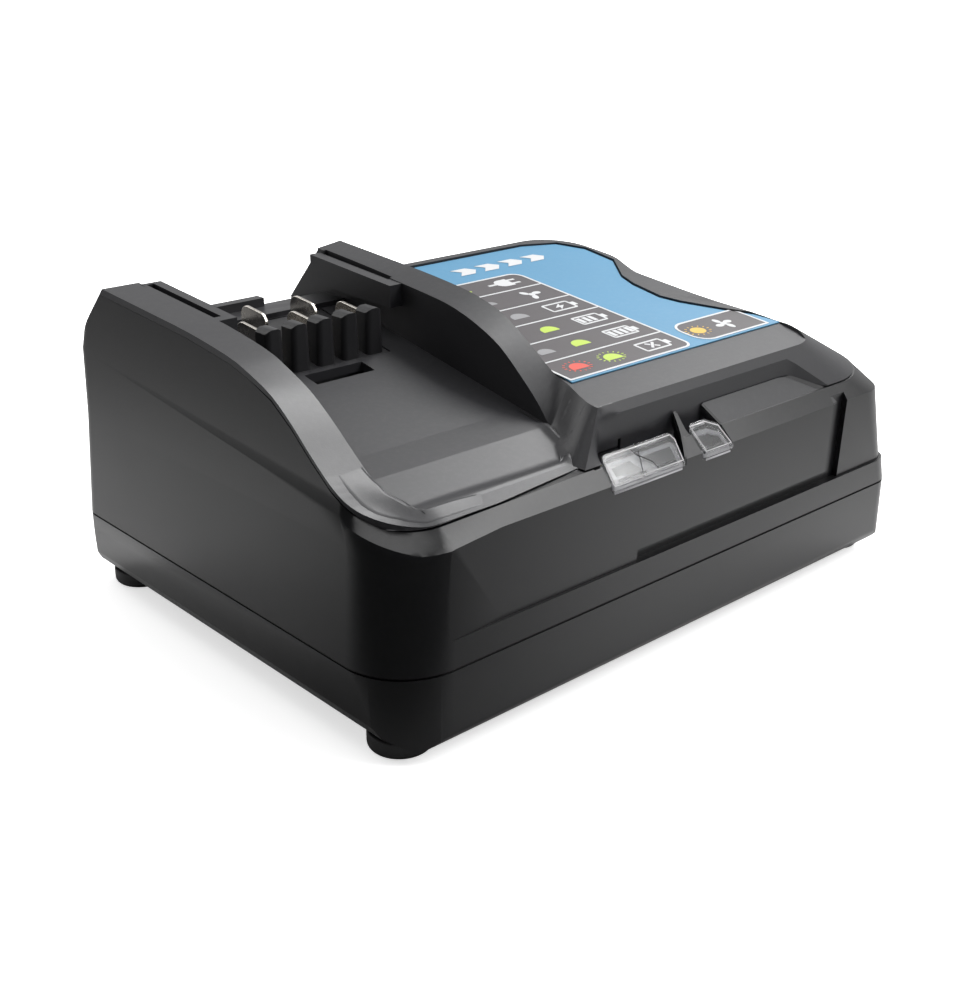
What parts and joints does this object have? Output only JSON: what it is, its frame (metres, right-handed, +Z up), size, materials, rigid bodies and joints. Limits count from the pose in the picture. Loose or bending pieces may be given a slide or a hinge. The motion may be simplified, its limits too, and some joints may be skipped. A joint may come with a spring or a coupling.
{
  "type": "power tool battery charger",
  "caption": "Desk-top charger with a slide-in bay for tool battery packs, ribbed terminals with contact blades, sloping label deck, lamp windows and a cooling fan.",
  "frame": {"origin": "centre of the footprint, on the plane that the feet stand on", "axes": "+X to the right seen from the front, +Y to the back, +Z up"},
  "size_m": [0.19, 0.139, 0.0898],
  "materials": {
    "case_black": "fine grained moulded black plastic",
    "cover_grey": "satin dark grey moulded plastic",
    "label_film": "printed blue and grey film",
    "lens_clear": "translucent smoky plastic",
    "guide_clear": "clear acrylic",
    "led_body": "cast lamp body",
    "terminal_black": "black moulded plastic",
    "contact_metal": "plated contact metal",
    "board_green": "glass-filled circuit board",
    "ferrite": "dark ferrite",
    "winding_tape": "yellow wrapped winding",
    "sink_aluminium": "extruded aluminium",
    "package_black": "moulded package",
    "capacitor_sleeve": "dark blue sleeve",
    "copper_coil": "lacquered copper winding",
    "fuse_glass": "clear glass tube in clips",
    "fan_black": "black moulded fan plastic",
    "duct_grey": "grey moulded duct",
    "gland_rubber": "black flexible sleeve",
    "foot_rubber": "dark rubber",
    "screw_steel": "plated steel"
  },
  "bodies": {
    "case": {"bottom_housing": "case_black", "upper_housing": "case_black", "top_cover": "cover_grey", "label_panel": "label_film", "charge_lamp_lens": "lens_clear", "fan_lamp_lens": "lens_clear", "light_guides": "guide_clear", "indicator_leds": "led_body", "terminal_block": "terminal_black", "blade_a": "contact_metal", "blade_b": "contact_metal", "blade_c": "contact_metal", "blade_d": "contact_metal", "blade_e": "contact_metal", "terminal_board": "board_green", "circuit_board": "board_green", "transformer_core": "ferrite", "transformer_winding": "winding_tape", "heat_sinks": "sink_aluminium", "power_transistors": "package_black", "bridge_rectifier": "package_black", "bulk_capacitor": "capacitor_sleeve", "output_capacitors": "capacitor_sleeve", "choke_coil": "copper_coil", "fuse": "fuse_glass", "fan_frame": "fan_black", "air_duct": "duct_grey", "cord_gland": "gland_rubber", "rubber_feet": "foot_rubber", "housing_screws": "screw_steel", "board_screws": "screw_steel", "fan_screws": "screw_steel", "terminal_screws": "screw_steel"},
    "rotor": {"fan_rotor": "fan_black"}
  },
  "joints": [
    {"name": "fan_spin", "type": "hinge", "parent": "case", "child": "rotor", "pos_m": [-0.0534, -0.0115, 0.0199], "axis": [0, 0, 1], "continuous": true}
  ]
}
